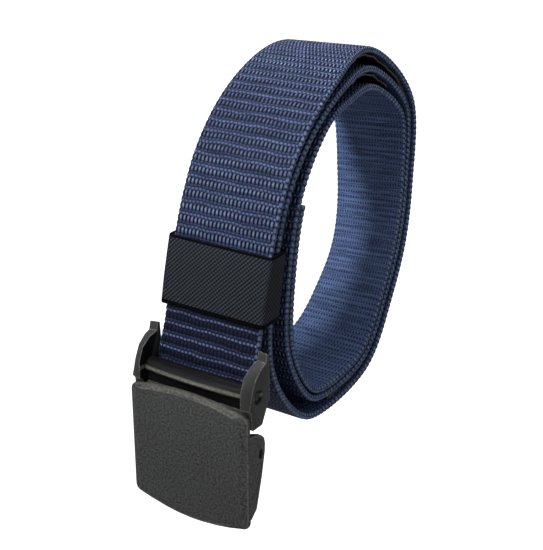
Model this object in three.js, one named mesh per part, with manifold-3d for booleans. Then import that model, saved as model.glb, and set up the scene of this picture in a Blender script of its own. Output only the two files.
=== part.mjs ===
// A webbing belt with a hidden money pocket, coiled and hung up by its innermost turn.
// Units are millimetres. X runs along the webbing's width, the buckle's lid faces -Y and Z is up.
// The origin is the point inside the top of the coil where a peg would carry the belt.

import * as THREE from 'three';
import Module from 'manifold-3d';
import { mergeVertices } from 'three/addons/utils/BufferGeometryUtils.js';

// Webbing
const strapWidth = 38;
const strapThick = 2.4;
const strapChamfer = 0.6;
const layerGap = 0.6;
const sectionStep = 5.5;
const pointsAcross = 5;

// Coil
const loopRadius = 60;
const backTurnDeg = -20.7;
const turnByHeight = 0.5;
const backTiltDeg = 10.9;
const liftByHeight = 0.6;
const twistReach = 0.55;
const pointsPerStation = 5;
const routeSamples = 2000;

// Where things lie along the winding, in degrees wound from the first station
const coilStartDeg = 60;
const tipDeg = 1134;
const wholeTurnCount = 3;

// Pocket lining on the inner face of the outermost turn
const liningWidth = 34;
const liningThick = 0.8;
const liningGap = 0.5;
const liningEdge = 0.2;
const liningStartDeg = 78;
const liningEndDeg = 318;

// Elastic keeper round the two outer layers
const keeperWall = 1.1;
const keeperLength = 20.5;
const keeperAbovePin = 41.2;
const keeperCorner = 1.4;
const keeperInnerCorner = 0.7;
const keeperLevelCount = 5;
const keeperCornerSteps = 3;
const leanFactor = 1.08;
const seatGap = 0.3;

// Buckle
const strapSideRoom = 1;
const cheekThick = 3.4;
const cheekDepth = 12.4;
const cheekHeight = 24.5;
const buckleAngleDeg = 204.43;
const pinOutsideLoop = 22.93;
const pinRadius = 1.3;
const pinRecess = 0.4;
const holeClearance = 0.3;
const sideClearance = 0.4;
const barrelRadius = 2.9;
const camCrown = 1.4;
const camStepCount = 8;
const camInset = 0.03;
const backPlateThick = 1.2;
const backPlateTop = 2.5;
const backPlateBelowPin = 9.9;
const lidDepth = 6.8;
const lidPlateThick = 2.6;
const lidTopBelowPin = 5.4;
const lidTopArch = 2.6;
const lidBottomBelowPin = 46.5;
const lidBottomArch = 3.6;
const lidCorner = 2.3;
const cornerDrop = 0.4;
const lidBevelWidth = 3;
const lidBevelDepth = 0.9;
const lidCurveSteps = 8;
const webThick = 2;
const webTopBelowPin = 5.4;
const webBottomBelowPin = 8.4;
const weldDepth = 0.65;
const earThick = 2.4;
const earDepth = 9.2;
const earLength = 33.8;
const earHoleWidth = 2.4;
const earHoleHeight = 4.2;
const earHoleBehindPin = 1.9;
const earHoleBelowPin = 21.6;
const lipDepth = 1.6;
const lipThick = 2;
const strapPastPin = 9;
const roundSides = 20;

// The coil as a table of stations, in the order in which the webbing winds: up the front, over
// the top, down the back and under. Columns: angle in degrees, radius as a share of loopRadius,
// how far the second, third and fourth turns lie inside the first in layer pitches, and 1 where
// the lining lies between the first turn and the second.
const stations = [
  [210, 1.16, 0.0, 3.3, 4.3, 0],
  [180, 1.015, 0.55, 3.5, 4.5, 0],
  [150, 0.995, 1.12, 3.5, 4.5, 0],
  [120, 0.985, 1.05, 2.75, 0, 1],
  [90, 0.97, 1.75, 4.0, 0, 1],
  [60, 1.03, 1.75, 3.8, 0, 1],
  [30, 1.025, 1.3, 2.8, 0, 1],
  [0, 0.77, 1.0, 2.0, 0, 1],
  [330, 0.7, 1.0, 2.0, 0, 1],
  [300, 0.735, 1.0, 2.0, 0, 1],
  [270, 0.975, 1.05, 2.05, 0, 1],
  [240, 1.205, 1.75, 2.75, 0, 1],
];

// The lead from the buckle up to the coil. Columns: shares of the way from the pin to the
// coil's first station, forward and upward.
const leadRows = [
  [0.3, 0.22],
  [0.455, 0.47],
  [0.7, 0.77],
];

const stationStepDeg = 360 / stations.length;
const firstPlace = coilStartDeg / stationStepDeg;
const lastPlace = wholeTurnCount * stations.length + firstPlace;
const layerPitch = strapThick + layerGap;
const liningRoom = liningThick + liningGap;
const topRow = stations.find((row) => row[0] === 90);
const coilCentre = {
  y: 0,
  z: -(topRow[1] * loopRadius - topRow[3] * layerPitch - liningRoom - strapThick),
};
const buckleAngle = THREE.MathUtils.degToRad(buckleAngleDeg);
const pin = {
  y: coilCentre.y + (loopRadius + pinOutsideLoop) * Math.cos(buckleAngle),
  z: coilCentre.z + (loopRadius + pinOutsideLoop) * Math.sin(buckleAngle),
};
const strapFront = barrelRadius + sideClearance;
const backPlateFront = strapFront + strapThick + seatGap;
const cheekInner = strapWidth / 2 + strapSideRoom;
const buckleWidth = 2 * (cheekInner + cheekThick);

const wasm = await Module();
wasm.setup();

// Turning a closed geometry into a manifold solid and back
function toSolid(geometry) {
  const bare = geometry.clone();
  bare.deleteAttribute('normal');
  bare.deleteAttribute('uv');
  const merged = mergeVertices(bare, 1e-4);
  const mesh = new wasm.Mesh({
    numProp: 3,
    vertProperties: new Float32Array(merged.attributes.position.array),
    triVerts: new Uint32Array(merged.index.array),
  });
  return new wasm.Manifold(mesh);
}

function toGeometry(solid) {
  const mesh = solid.getMesh();
  const geometry = new THREE.BufferGeometry();
  geometry.setAttribute('position', new THREE.BufferAttribute(new Float32Array(mesh.vertProperties), 3));
  geometry.setIndex(new THREE.BufferAttribute(new Uint32Array(mesh.triVerts), 1));
  geometry.computeVertexNormals();
  return geometry;
}

function unite(geometries) {
  return geometries.map(toSolid).reduce((sum, next) => sum.add(next));
}

// A closed solid through rings of points, each ring given as [x, y, z] rows. The caps are cut
// into triangles once, from the first ring seen flat.
function loft(rings, flat) {
  const count = rings[0].length;
  const positions = rings.flat().flat();
  const index = [];
  for (let ring = 0; ring < rings.length - 1; ring += 1) {
    for (let i = 0; i < count; i += 1) {
      const a = ring * count + i;
      const b = ring * count + ((i + 1) % count);
      index.push(a, b, b + count, a, b + count, a + count);
    }
  }
  const outline = rings[0].map((p) => new THREE.Vector2(...flat(p)));
  const faces = THREE.ShapeUtils.triangulateShape(outline, []);
  const last = (rings.length - 1) * count;
  const turn = THREE.ShapeUtils.area(outline) > 0;
  for (const [a, b, c] of faces) {
    index.push(...(turn ? [c, b, a] : [a, b, c]));
    index.push(...(turn ? [a + last, b + last, c + last] : [c + last, b + last, a + last]));
  }
  const geometry = new THREE.BufferGeometry();
  geometry.setAttribute('position', new THREE.Float32BufferAttribute(positions, 3));
  geometry.setIndex(index);
  return outward(geometry);
}

// Faces of a closed geometry point outward when its signed volume is positive
function outward(geometry) {
  const p = geometry.attributes.position;
  const index = geometry.index.array;
  const [a, b, c] = [new THREE.Vector3(), new THREE.Vector3(), new THREE.Vector3()];
  let volume = 0;
  for (let i = 0; i < index.length; i += 3) {
    a.fromBufferAttribute(p, index[i]);
    b.fromBufferAttribute(p, index[i + 1]);
    c.fromBufferAttribute(p, index[i + 2]);
    volume += a.dot(b.cross(c));
  }
  if (volume < 0) {
    geometry.setIndex(Array.from(index).reverse());
  }
  geometry.computeVertexNormals();
  return geometry;
}

// The outermost turn's outer face: a closed smooth curve through the stations
const outerCurve = new THREE.CatmullRomCurve3(
  stations.map(([angle, share]) => {
    const radius = share * loopRadius;
    const turn = THREE.MathUtils.degToRad(angle);
    return new THREE.Vector3(0, coilCentre.y + radius * Math.cos(turn), coilCentre.z + radius * Math.sin(turn));
  }),
  true,
);

// A point at a place along the stations, moved inward from the outermost face
function insideCoil(place, inset) {
  const t = (((place % stations.length) + stations.length) % stations.length) / stations.length;
  const point = outerCurve.getPoint(t);
  const tangent = outerCurve.getTangent(t);
  return new THREE.Vector3(0, point.y + tangent.z * inset, point.z - tangent.y * inset);
}

// How far a turn lies inside the outermost face at a station
function turnInset(turn, row) {
  if (turn === 0) {
    return 0;
  }
  return row[1 + turn] * layerPitch + row[5] * liningRoom;
}

// The inset along the winding, from the first place on the coil past the free tip. A place
// counts stations from the start of the first turn.
const insetCurve = new THREE.SplineCurve(
  Array.from({ length: lastPlace - firstPlace + 1 }, (_, i) => {
    const place = firstPlace + i;
    const turn = Math.floor(place / stations.length);
    return new THREE.Vector2(place, turnInset(turn, stations[place % stations.length]));
  }),
);

function insetAt(place) {
  return insetCurve.getPoint((place - firstPlace) / (lastPlace - firstPlace)).y;
}

// The route of the webbing's outer face, from its end in the buckle to its free tip
function strapRoute() {
  const first = insideCoil(firstPlace, 0);
  const points = [
    new THREE.Vector3(0, pin.y + strapFront, pin.z - strapPastPin),
    new THREE.Vector3(0, pin.y + strapFront, pin.z - strapPastPin / 2),
    new THREE.Vector3(0, pin.y + strapFront, pin.z + backPlateTop + strapThick / 2),
  ];
  for (const [forward, upward] of leadRows) {
    points.push(new THREE.Vector3(
      0,
      THREE.MathUtils.lerp(pin.y, first.y, forward),
      THREE.MathUtils.lerp(pin.z, first.z, upward),
    ));
  }
  const tipPlace = tipDeg / stationStepDeg;
  const steps = Math.round((tipPlace - firstPlace) * pointsPerStation);
  for (let i = 0; i <= steps; i += 1) {
    const place = THREE.MathUtils.lerp(firstPlace, tipPlace, i / steps);
    points.push(insideCoil(place, insetAt(place)));
  }
  return new THREE.CatmullRomCurve3(points, false, 'centripetal');
}

// The coil is racked: towards its back, the webbing's width turns about the vertical and tilts,
// and more so low down
const smooth = (t) => t * t * (3 - 2 * t);

function rack(x, y, z) {
  const reach = twistReach * loopRadius;
  const share = smooth(THREE.MathUtils.clamp((y - coilCentre.y + reach) / (2 * reach), 0, 1));
  const lower = (coilCentre.z - z) / loopRadius;
  const turn = THREE.MathUtils.degToRad(backTurnDeg) * share * (1 + turnByHeight * lower);
  const tilt = THREE.MathUtils.degToRad(backTiltDeg) * share;
  return [
    x * Math.cos(turn) - (z - coilCentre.z) * Math.tan(tilt),
    y + x * Math.sin(turn),
    z + x * Math.sin(tilt) * (1 + liftByHeight * lower),
  ];
}

// A ribbon's cross-section as [x, depth] rows. Its faces have a few points across the width, so
// that they stay close to each other where the coil is racked.
function ribbonSection(width, thick, chamfer) {
  const half = width / 2;
  const across = Array.from(
    { length: pointsAcross },
    (_, i) => THREE.MathUtils.lerp(-half + chamfer, half - chamfer, i / (pointsAcross - 1)),
  );
  return [
    ...across.map((x) => [x, 0]),
    [half, chamfer],
    [half, thick - chamfer],
    ...across.map((x) => [-x, thick]),
    [-half, thick - chamfer],
    [-half, chamfer],
  ];
}

// A ribbon along points and inward directions that lie in the YZ plane
function ribbon(places, section) {
  const rings = places.map(({ point, inward }) => section.map(
    ([x, depth]) => rack(x, point.y + inward.y * depth, point.z + inward.z * depth),
  ));
  const start = places[0].inward;
  return loft(rings, ([x, y, z]) => [x, y * start.y + z * start.z]);
}

function placesAlong(curve, count) {
  return Array.from({ length: count + 1 }, (_, i) => {
    const t = i / count;
    const tangent = curve.getTangentAt(t);
    return { point: curve.getPointAt(t), inward: new THREE.Vector3(0, tangent.z, -tangent.y) };
  });
}

const route = strapRoute();
route.arcLengthDivisions = routeSamples;
route.updateArcLengths();
const strapLength = route.getLength();

function webbingStrap() {
  const count = Math.round(strapLength / sectionStep);
  return ribbon(placesAlong(route, count), ribbonSection(strapWidth, strapThick, strapChamfer));
}

function pocketLining() {
  const inset = strapThick + liningGap;
  const start = liningStartDeg / stationStepDeg;
  const end = liningEndDeg / stationStepDeg;
  const rows = Math.round((end - start) * pointsPerStation);
  const points = Array.from({ length: rows + 1 }, (_, i) => (
    insideCoil(THREE.MathUtils.lerp(start, end, i / rows), inset)
  ));
  const curve = new THREE.CatmullRomCurve3(points, false, 'centripetal');
  const count = Math.round(curve.getLength() / sectionStep);
  return ribbon(placesAlong(curve, count), ribbonSection(liningWidth, liningThick, liningEdge));
}

// The webbing's outer face at a height on the front of the coil: turn 0 is the lead, turn 1 the
// layer behind it
function frontFace(turn, height) {
  const samples = route.getSpacedPoints(routeSamples);
  const crossings = [];
  for (let i = 0; i < samples.length - 1; i += 1) {
    const [low, high] = [samples[i], samples[i + 1]];
    if (low.z <= height && high.z > height && low.y < coilCentre.y) {
      crossings.push(THREE.MathUtils.lerp(low.y, high.y, (height - low.z) / (high.z - low.z)));
    }
  }
  return crossings[turn];
}

// One ring of the keeper: a rectangle with rounded corners at a height
function keeperRing(height, growth) {
  const halfX = strapWidth / 2 + seatGap + growth;
  const front = frontFace(0, height) - seatGap - growth;
  const back = frontFace(1, height) + strapThick * leanFactor + seatGap + growth;
  const corner = growth > 0 ? keeperCorner : keeperInnerCorner;
  const shape = new THREE.Shape();
  shape.moveTo(-halfX + corner, front);
  shape.lineTo(halfX - corner, front);
  shape.quadraticCurveTo(halfX, front, halfX, front + corner);
  shape.lineTo(halfX, back - corner);
  shape.quadraticCurveTo(halfX, back, halfX - corner, back);
  shape.lineTo(-halfX + corner, back);
  shape.quadraticCurveTo(-halfX, back, -halfX, back - corner);
  shape.lineTo(-halfX, front + corner);
  shape.quadraticCurveTo(-halfX, front, -halfX + corner, front);
  const points = shape.getPoints(keeperCornerSteps);
  return points.slice(0, -1).map((p) => [p.x, p.y, height]);
}

function elasticKeeper() {
  const bottom = pin.z + keeperAbovePin - keeperLength;
  const gaps = keeperLevelCount - 1;
  const heights = Array.from({ length: keeperLevelCount }, (_, i) => bottom + (keeperLength * i) / gaps);
  const outer = loft(heights.map((z) => keeperRing(z, keeperWall)), ([x, y]) => [x, y]);
  const reach = [bottom - keeperWall, ...heights.slice(1, -1), bottom + keeperLength + keeperWall];
  const inner = loft(reach.map((z) => keeperRing(z, 0)), ([x, y]) => [x, y]);
  return toGeometry(toSolid(outer).subtract(toSolid(inner)));
}

// Outlines of the frame's side walls from the pin's centre, at the face next to the webbing and
// at the outer face, whose front edge is bevelled back. Columns: shares of cheekDepth backward
// and of cheekHeight upward.
const cheekInside = [
  [0.573, 0.184], [0.532, 0.514], [0.435, 0.539], [0.371, 0.416], [0.065, 0.392], [-0.25, 0.294],
  [-0.411, 0.106], [-0.427, -0.139], [-0.298, -0.188], [-0.282, -0.392], [-0.21, -0.457],
  [0.21, -0.461], [0.371, -0.318], [0.484, -0.212], [0.573, -0.188],
];
const cheekOutside = [
  [0.556, 0.184], [0.516, 0.498], [0.435, 0.522], [0.371, 0.4], [0.194, 0.376], [-0.081, 0.269],
  [-0.25, 0.098], [-0.395, -0.131], [-0.298, -0.188], [-0.282, -0.384], [-0.21, -0.449],
  [0.21, -0.453], [0.355, -0.314], [0.468, -0.208], [0.556, -0.184],
];

// Outline of the lid's side flaps. Columns: shares of earDepth back from the lid's plate and of
// earLength up from the lid's lower corners.
const earOutline = [
  [0, 1], [0.435, 0.982], [0.793, 0.935], [0.935, 0.896], [1, 0.828], [0.978, 0.731],
  [0.783, 0.479], [0.457, 0.163], [0.109, 0.083], [0, 0.083],
];

const atPin = (x, [y, z]) => [x, pin.y + y, pin.z + z];
const scaled = (rows, depth, height, back = 0, foot = 0) => (
  rows.map(([y, z]) => [back + y * depth, foot + z * height])
);
const seenFromSide = ([, y, z]) => [y, z];

// A wall across X on one side of the buckle, between an outline near the middle and one far out
function sideWall(side, near, far, nearRows, farRows) {
  return loft([
    nearRows.map((row) => atPin(side * near, row)),
    farRows.map((row) => atPin(side * far, row)),
  ], seenFromSide);
}

function boxBetween(low, high) {
  const box = new THREE.BoxGeometry(high[0] - low[0], high[1] - low[1], high[2] - low[2]);
  box.translate((low[0] + high[0]) / 2, pin.y + (low[1] + high[1]) / 2, pin.z + (low[2] + high[2]) / 2);
  return box;
}

// A round bar along X on the pin's axis
function crossRod(radius, length) {
  const rod = new THREE.CylinderGeometry(radius, radius, length, roundSides);
  rod.rotateZ(Math.PI / 2);
  rod.translate(0, pin.y, pin.z);
  return rod;
}

function buckleFrame() {
  const outer = buckleWidth / 2;
  const inside = scaled(cheekInside, cheekDepth, cheekHeight);
  const outside = scaled(cheekOutside, cheekDepth, cheekHeight);
  const solid = unite([
    sideWall(1, cheekInner, outer, inside, outside),
    sideWall(-1, cheekInner, outer, inside, outside),
    boxBetween(
      [-cheekInner - weldDepth, backPlateFront, -backPlateBelowPin],
      [cheekInner + weldDepth, backPlateFront + backPlateThick, backPlateTop],
    ),
  ]);
  const bore = toSolid(crossRod(pinRadius + holeClearance, 2 * buckleWidth));
  return toGeometry(solid.subtract(bore));
}

function pivotPin() {
  return crossRod(pinRadius, buckleWidth - 2 * pinRecess);
}

// The lid plate's outline seen from the front, at a distance inside its edge. Its top and bottom
// edges are arched.
function lidOutline(insetX, insetZ) {
  const half = buckleWidth / 2 - insetX;
  const top = -lidTopBelowPin - insetZ;
  const low = insetZ - lidBottomBelowPin;
  const crest = top + 2 * lidTopArch - cornerDrop;
  const sag = low - 2 * lidBottomArch + cornerDrop;
  const shape = new THREE.Shape();
  shape.moveTo(-half + lidCorner, top + cornerDrop);
  shape.quadraticCurveTo(0, crest, half - lidCorner, top + cornerDrop);
  shape.quadraticCurveTo(half, top, half, top - lidCorner);
  shape.lineTo(half, low + lidCorner);
  shape.quadraticCurveTo(half, low, half - lidCorner, low - cornerDrop);
  shape.quadraticCurveTo(0, sag, -half + lidCorner, low - cornerDrop);
  shape.quadraticCurveTo(-half, low, -half, low + lidCorner);
  shape.lineTo(-half, top - lidCorner);
  shape.quadraticCurveTo(-half, top, -half + lidCorner, top + cornerDrop);
  return shape.getPoints(lidCurveSteps).slice(0, -1);
}

function lidPlate() {
  const layer = (y, insetX, insetZ) => lidOutline(insetX, insetZ).map((p) => atPin(p.x, [y, p.y]));
  return loft([
    layer(-lidDepth + lidPlateThick, 0, 0),
    layer(-lidDepth + lidBevelDepth, 0, 0),
    layer(-lidDepth, lidBevelWidth, lidBevelDepth),
  ], ([x, , z]) => [x, z]);
}

// Outline of the cam's nose, which stands out ahead of the barrel. Columns: degrees round the
// barrel, forward from its top, and the share of the crown by which the nose stands out there.
const camOutline = [
  [30, 0], [50, 0.45], [88, 1], [104, 0.75], [125, 0.3], [150, 0],
];

// The cam's nose runs from one side wall to the other and is crowned towards the middle
function camNose(half) {
  const rings = Array.from({ length: camStepCount + 1 }, (_, i) => {
    const x = THREE.MathUtils.lerp(-half, half, i / camStepCount);
    const crown = camCrown * (1 - (x / half) ** 2);
    return camOutline.map(([degrees, share]) => {
      const turn = THREE.MathUtils.degToRad(degrees);
      const radius = barrelRadius - camInset;
      return atPin(x, [-radius * Math.sin(turn) - share * crown, radius * Math.cos(turn)]);
    });
  });
  return loft(rings, seenFromSide);
}

function buckleLid() {
  const inside = cheekInner - sideClearance;
  const earOuter = buckleWidth / 2;
  const earInner = earOuter - earThick;
  const plateBack = -lidDepth + lidPlateThick;
  const ears = scaled(earOutline, earDepth, earLength, plateBack - weldDepth, -lidBottomBelowPin);
  const solid = unite([
    lidPlate(),
    crossRod(barrelRadius, 2 * inside),
    camNose(inside),
    boxBetween([-inside, -webThick, -webBottomBelowPin], [inside, 0, -pinRadius]),
    boxBetween([-inside, plateBack - weldDepth, -webBottomBelowPin], [inside, 0, -webTopBelowPin]),
    sideWall(1, earInner, earOuter, ears, ears),
    sideWall(-1, earInner, earOuter, ears, ears),
    boxBetween(
      [-earInner - weldDepth, plateBack - weldDepth, -lidBottomBelowPin - lipThick / 2],
      [earInner + weldDepth, plateBack + lipDepth, -lidBottomBelowPin + lipThick],
    ),
  ]);
  const bore = toSolid(crossRod(pinRadius + holeClearance, 2 * buckleWidth));
  const slots = new THREE.CylinderGeometry(1, 1, 2 * buckleWidth, roundSides);
  slots.rotateZ(Math.PI / 2);
  slots.scale(1, earHoleWidth / 2, earHoleHeight / 2);
  slots.translate(0, pin.y + earHoleBehindPin, pin.z - earHoleBelowPin);
  return toGeometry(solid.subtract(bore).subtract(toSolid(slots)));
}

const finish = (color, roughness, metalness = 0) => new THREE.MeshStandardMaterial({ color, roughness, metalness });

const part = new THREE.Group();

function addMesh(name, geometry, material) {
  const mesh = new THREE.Mesh(geometry, material);
  mesh.name = name;
  part.add(mesh);
}

addMesh('webbing_strap', webbingStrap(), finish(0x24365e, 0.8));
addMesh('pocket_lining', pocketLining(), finish(0x15130f, 0.85));
addMesh('elastic_keeper', elasticKeeper(), finish(0x14161b, 0.85));
addMesh('buckle_frame', buckleFrame(), finish(0x26272a, 0.55));
addMesh('buckle_lid', buckleLid(), finish(0x26272a, 0.55));
addMesh('pivot_pin', pivotPin(), finish(0x8a8c90, 0.4, 0.8));

export default part;
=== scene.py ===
# %% [markdown]
# # A coiled webbing belt with a flip-lid buckle
# The belt is a strip of coarse navy webbing wound three and a half times and hung up by its
# innermost turn. A black elastic keeper holds the two outer layers, and a charcoal plastic
# buckle hangs at the front. The CAD model gives every place and size. This lesson gives the
# belt its weave, its soft edges and its finishes.

# %% Load the fixed frame
import math

import bmesh
import bpy
import numpy as np
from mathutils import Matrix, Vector


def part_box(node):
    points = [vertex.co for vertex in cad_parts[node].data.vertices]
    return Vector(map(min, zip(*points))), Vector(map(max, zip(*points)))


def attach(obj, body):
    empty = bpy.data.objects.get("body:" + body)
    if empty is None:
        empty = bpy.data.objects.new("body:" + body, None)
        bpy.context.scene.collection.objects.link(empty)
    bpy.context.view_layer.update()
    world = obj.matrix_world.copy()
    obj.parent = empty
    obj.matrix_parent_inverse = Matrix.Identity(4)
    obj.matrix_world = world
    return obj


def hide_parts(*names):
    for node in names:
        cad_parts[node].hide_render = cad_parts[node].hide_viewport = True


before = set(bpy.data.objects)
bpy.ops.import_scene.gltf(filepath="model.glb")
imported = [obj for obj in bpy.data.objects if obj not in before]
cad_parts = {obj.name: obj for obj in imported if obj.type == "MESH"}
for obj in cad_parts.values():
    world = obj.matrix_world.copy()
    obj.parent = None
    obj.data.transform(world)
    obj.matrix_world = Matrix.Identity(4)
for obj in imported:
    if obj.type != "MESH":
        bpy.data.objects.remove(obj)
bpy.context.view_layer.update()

MM = 0.001
print("nodes:", ", ".join(sorted(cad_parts)))

# %% [markdown]
# ## Camera
# The photographer stood to the right of the belt and a little above it, with a long lens. A
# long lens keeps the coil's near and far edges almost parallel. The camera is placed first,
# because every finish is judged through it.

# %% Camera
CAMERA_PLACE = Vector((208.59, -351.81, 104.76)) * MM
CAMERA_AZIMUTH = math.radians(33.1)
CAMERA_ELEVATION = math.radians(22.8)
PHOTO_WIDTH, FOCAL_PIXELS = 543, 1200

looking = Vector((
    -math.sin(CAMERA_AZIMUTH) * math.cos(CAMERA_ELEVATION),
    math.cos(CAMERA_AZIMUTH) * math.cos(CAMERA_ELEVATION),
    -math.sin(CAMERA_ELEVATION),
))
bpy.ops.object.camera_add(location=CAMERA_PLACE)
camera = bpy.context.object
camera.rotation_euler = looking.to_track_quat("-Z", "Y").to_euler()
camera.data.sensor_fit = "HORIZONTAL"
camera.data.sensor_width = 36
camera.data.lens = FOCAL_PIXELS / PHOTO_WIDTH * camera.data.sensor_width
camera.data.clip_start, camera.data.clip_end = 0.01, 50
bpy.context.scene.camera = camera
print("lens", round(camera.data.lens, 1), "mm")

# %% [markdown]
# ## Light and floor
# Product photographs of straps use big soft lights, so that the weave shows without hard
# shadows. Here a key panel with a narrow beam stands high at the front left, a wider one lower
# at the front left, a large weak one on the right and a bright one overhead. A plain grey
# surround fills the rest. The floor is plain, pale and a little bright by itself, so that it
# stays white, and it lies so far below the hanging belt that no shadow falls in the picture.

# %% Light helper
def panel(name, place, target, size, power, spread=180):
    """A square soft light that faces a point, with a grid that narrows its beam."""
    bpy.ops.object.light_add(type="AREA", location=place)
    light = bpy.context.object
    light.name = name
    light.data.size = size
    light.data.energy = power
    light.data.spread = math.radians(spread)
    facing = Vector(target) - Vector(place)
    light.rotation_euler = facing.to_track_quat("-Z", "Y").to_euler()


# %% Panels and surround
SURROUND = 0.3
panel("key_panel", (-0.25, -0.62, 0.66), (0, 0, 0.06), 0.2, 0.3, spread=28)
panel("front_panel", (-0.5, -0.8, 0.1), (0, 0, -0.08), 0.5, 0.5)
panel("side_panel", (0.9, -0.15, 0.2), (0, 0, -0.05), 1.0, 0.28)
panel("top_panel", (0.0, 0.15, 0.8), (0, 0.02, 0), 0.4, 3)

world = bpy.data.worlds.new("studio")
bpy.context.scene.world = world
world.use_nodes = True
world.node_tree.nodes["Background"].inputs["Color"].default_value = (1, 1, 1, 1)
world.node_tree.nodes["Background"].inputs["Strength"].default_value = SURROUND
bpy.context.scene.view_settings.view_transform = "Standard"

# %% Floor
FLOOR_DROP, FLOOR_SIZE = 0.6, 30
bpy.ops.mesh.primitive_plane_add(size=FLOOR_SIZE, location=(0, 0, -FLOOR_DROP))
floor = bpy.context.object
floor.name = "floor"
floor_finish = bpy.data.materials.new("pale_floor")
floor_finish.use_nodes = True
floor_shader = floor_finish.node_tree.nodes["Principled BSDF"]
floor_shader.inputs["Base Color"].default_value = (0.95, 0.95, 0.95, 1)
floor_shader.inputs["Roughness"].default_value = 0.9
floor_shader.inputs["Emission Color"].default_value = (1, 1, 1, 1)
floor_shader.inputs["Emission Strength"].default_value = 1.0
floor.data.materials.append(floor_finish)
floor.visible_diffuse = False
floor.visible_glossy = False
print("floor", FLOOR_DROP, "m below the frame's origin")

# %% [markdown]
# ## A helper for materials
# Every finish here is made of shader nodes, most of them small sums. A short helper adds a node,
# feeds it numbers or other nodes' results, and gives back its own result, so that a pattern
# reads like a formula.


# %% Material helper
class Finish:
    """A material whose pattern is written as sums of sockets and numbers."""

    def __init__(self, name, roughness, specular=0.5):
        self.material = bpy.data.materials.new(name)
        self.material.use_nodes = True
        self.tree = self.material.node_tree
        self.shader = self.tree.nodes["Principled BSDF"]
        self.shader.inputs["Specular IOR Level"].default_value = specular
        self.shader.inputs["Roughness"].default_value = roughness

    def feed(self, socket, value):
        """Links another node's result to a socket, or sets a plain value."""
        if isinstance(value, bpy.types.NodeSocket):
            self.tree.links.new(value, socket)
        else:
            socket.default_value = value

    def sum(self, operation, *values, clamp=False):
        """One step of arithmetic on numbers or results."""
        node = self.tree.nodes.new("ShaderNodeMath")
        node.operation = operation
        node.use_clamp = clamp
        for socket, value in zip(node.inputs, values):
            self.feed(socket, value)
        return node.outputs[0]

    def uv(self, layer):
        """The two numbers of a UV map, here millimetres along and across the cloth."""
        node = self.tree.nodes.new("ShaderNodeUVMap")
        node.uv_map = layer
        return node.outputs[0], *self.axes(node.outputs[0])[:2]

    def axes(self, vector):
        """The three numbers of a vector."""
        split = self.tree.nodes.new("ShaderNodeSeparateXYZ")
        self.feed(split.inputs[0], vector)
        return tuple(split.outputs)

    def place(self):
        """A point's place on the object, in metres."""
        return self.tree.nodes.new("ShaderNodeTexCoord").outputs["Object"]

    def between(self, share, low, high):
        """A number between two numbers."""
        return self.sum("MULTIPLY_ADD", share, self.sum("SUBTRACT", high, low), low)

    def sharpened(self, noise, contrast):
        """Noise pushed towards 0 and 1, so that it reads as specks."""
        centred = self.sum("SUBTRACT", noise, 0.5)
        return self.sum("MULTIPLY_ADD", centred, contrast, 0.5, clamp=True)

    def noise(self, vector, scale, detail=2.0):
        """Smooth noise round 0.5, with so many lumps in a unit of the vector."""
        node = self.tree.nodes.new("ShaderNodeTexNoise")
        self.feed(node.inputs["Vector"], vector)
        node.inputs["Scale"].default_value = scale
        node.inputs["Detail"].default_value = detail
        return node.outputs[0]

    def dome(self, value, centre, half):
        """1 at the centre, falling to 0 at half a width from it."""
        offset = self.sum("DIVIDE", self.sum("SUBTRACT", value, centre), half)
        return self.sum("SUBTRACT", 1.0, self.sum("MULTIPLY", offset, offset), clamp=True)

    def repeat(self, value, pitch, shift=0.0):
        """Runs from 0 to 1 in each pitch."""
        return self.sum("FRACT", self.sum("ADD", self.sum("DIVIDE", value, pitch), shift))

    def blend(self, share, low, high):
        """A colour between two colours."""
        node = self.tree.nodes.new("ShaderNodeMix")
        node.data_type = "RGBA"
        self.feed(node.inputs[0], share)
        self.feed(node.inputs[6], low)
        self.feed(node.inputs[7], high)
        return node.outputs[2]

    def bump(self, height, distance, strength=1.0):
        """Tilts the surface as if the pattern stood up by a distance in metres."""
        node = self.tree.nodes.new("ShaderNodeBump")
        self.feed(node.inputs["Height"], height)
        node.inputs["Distance"].default_value = distance
        node.inputs["Strength"].default_value = strength
        self.feed(self.shader.inputs["Normal"], node.outputs[0])


# %% Helpers for pieces
def dress(piece, body, slot, *finishes):
    """A finished piece takes its finishes and its body; the slot is not used."""
    if finishes:
        piece.data.materials.clear()
    for finish in finishes:
        piece.data.materials.append(finish.material)
    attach(piece, body)


def edit(piece, mode="FACE"):
    """Edit mode on one piece, with nothing selected."""
    bpy.ops.object.select_all(action="DESELECT")
    piece.select_set(True)
    bpy.context.view_layer.objects.active = piece
    bpy.ops.object.mode_set(mode="EDIT")
    bpy.ops.mesh.select_mode(type=mode)
    bpy.ops.mesh.select_all(action="DESELECT")


def done():
    """Back to object mode."""
    bpy.ops.object.mode_set(mode="OBJECT")


# %% [markdown]
# ## The way the webbing runs
# The strap starts in the buckle, climbs the front, goes over the top, down the back and under,
# and winds on inside itself to its free end. The CAD model draws it from a table of stations,
# and the same table is written here, so that the woven strap lies exactly where the plain one
# does. A smooth curve through the stations is the outermost face, and each further turn lies a
# little inside it. Each row of the table holds an angle in degrees, the radius there as a share
# of the loop's, how many layers the second, third and fourth turns lie inside, and a 1 where
# the lining takes room too. The lead rows place the strap between the pin and the first
# station, as shares of the way back and of the way up.

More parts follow.
